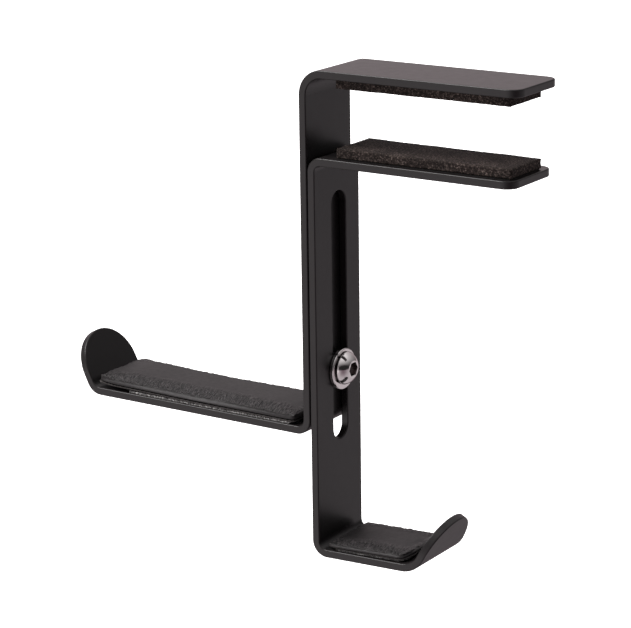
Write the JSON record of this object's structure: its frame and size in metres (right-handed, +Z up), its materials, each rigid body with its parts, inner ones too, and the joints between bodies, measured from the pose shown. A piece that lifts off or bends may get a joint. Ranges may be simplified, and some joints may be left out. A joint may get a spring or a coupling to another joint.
{
  "type": "headphone hook",
  "caption": "Clamp-on desk headphone hook: two sliding bent steel strips, foam-lined jaws, an arm and a lower hook with leather-covered cushions.",
  "frame": {"origin": "on the upper jaw pad's underside, the face that rests on the desk top, midway along the pad and on the middle plane of the strips", "axes": "+Z up, +X from the legs into the desk, Y across the strips"},
  "size_m": [0.1666, 0.025, 0.1539],
  "materials": {
    "powder_coat": "satin black powder coat on steel",
    "stainless_steel": "polished stainless steel",
    "zinc_plate": "zinc plated",
    "pad_foam": "closed-cell rubber foam with an open-grained skin",
    "adhesive_film": "black adhesive film",
    "leather": "satin black grained synthetic leather",
    "cushion_foam": "soft foam core",
    "backing_board": "dark fibre backing",
    "foam_tape": "grey foam tape"
  },
  "bodies": {
    "outer": {"outer_bracket": "powder_coat", "clinch_nut": "zinc_plate", "upper_jaw_pad": "pad_foam", "upper_pad_adhesive": "adhesive_film", "arm_cushion_cover": "leather", "arm_cushion_foam": "cushion_foam", "arm_cushion_backing": "backing_board", "arm_cushion_adhesive": "foam_tape"},
    "inner": {"inner_bracket": "powder_coat", "lower_jaw_pad": "pad_foam", "lower_pad_adhesive": "adhesive_film", "hook_cushion_cover": "leather", "hook_cushion_foam": "cushion_foam", "hook_cushion_backing": "backing_board", "hook_cushion_adhesive": "foam_tape"},
    "screw": {"clamp_screw": "stainless_steel", "washer": "stainless_steel"}
  },
  "joints": [
    {"name": "clamp_slide", "type": "slide", "parent": "outer", "child": "inner", "axis": [0, 0, 1], "range_m": [-0.0529, 0.0173]},
    {"name": "clamp_screw_turn", "type": "hinge", "parent": "outer", "child": "screw", "pos_m": [-0.03374, 0.0008, -0.08965], "axis": [1, 0, 0], "range_deg": [0, 450]}
  ]
}
